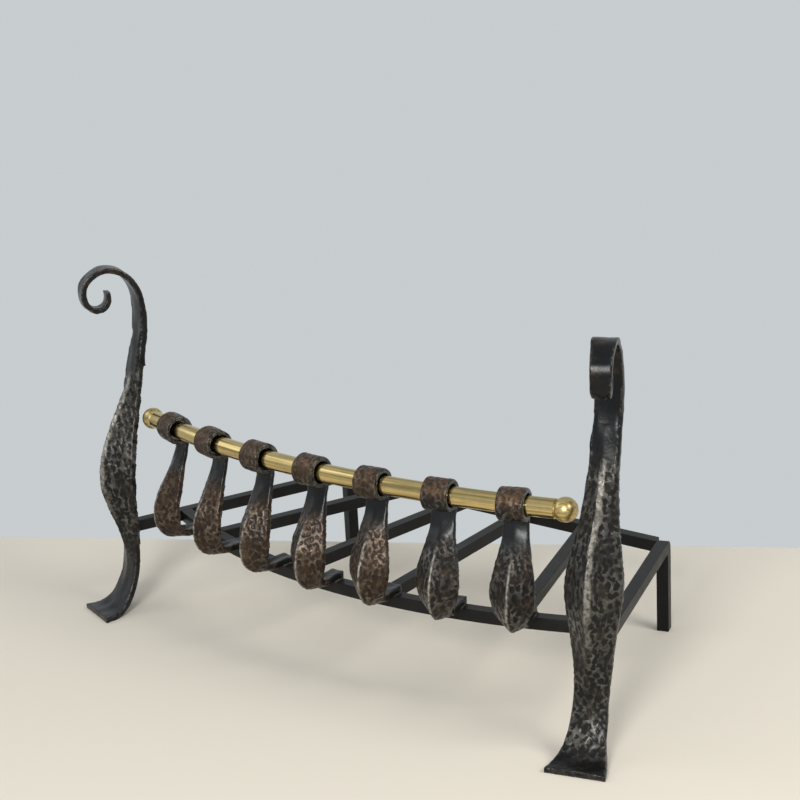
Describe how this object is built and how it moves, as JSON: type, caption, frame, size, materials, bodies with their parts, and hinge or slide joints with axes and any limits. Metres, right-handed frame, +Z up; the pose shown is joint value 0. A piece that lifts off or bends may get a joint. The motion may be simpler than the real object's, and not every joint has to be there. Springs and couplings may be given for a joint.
{
  "type": "fire grate",
  "caption": "Free-standing fire grate: square-bar frame with leaf-shaped forged tines carrying a loose bowed brass rail between two scrolled end posts.",
  "frame": {"origin": "middle of the footprint's bounding box, on the floor", "axes": "+X to the right along the brass rail, +Y to the back of the hearth, +Z up"},
  "size_m": [0.723, 0.3428, 0.3989],
  "materials": {
    "forged_post": "hammered, blackened, waxed",
    "forged_tine": "hammered, browned, waxed",
    "black_bar": "satin black",
    "brass": "brushed and polished",
    "stud_steel": "plain"
  },
  "bodies": {
    "grate": {"front_rail": "black_bar", "grate_bar_1": "black_bar", "grate_bar_2": "black_bar", "grate_bar_3": "black_bar", "grate_bar_4": "black_bar", "post_left": "forged_post", "post_right": "forged_post", "rear_rail": "black_bar", "scroll_left": "forged_post", "scroll_right": "forged_post", "side_bar_left": "black_bar", "side_bar_right": "black_bar", "tine_1": "forged_tine", "tine_2": "forged_tine", "tine_3": "forged_tine", "tine_4": "forged_tine", "tine_5": "forged_tine", "tine_6": "forged_tine", "tine_7": "forged_tine"},
    "rail": {"brass_rail": "brass", "ball_left": "brass", "ball_right": "brass", "ball_stud_left": "stud_steel", "ball_stud_right": "stud_steel"}
  },
  "joints": [
    {"name": "rail_shift", "type": "hinge", "parent": "grate", "child": "rail", "pos_m": [0, 0.86569, 0.228], "axis": [0, 0, 1], "range_deg": [-0.51, 0.51]}
  ]
}
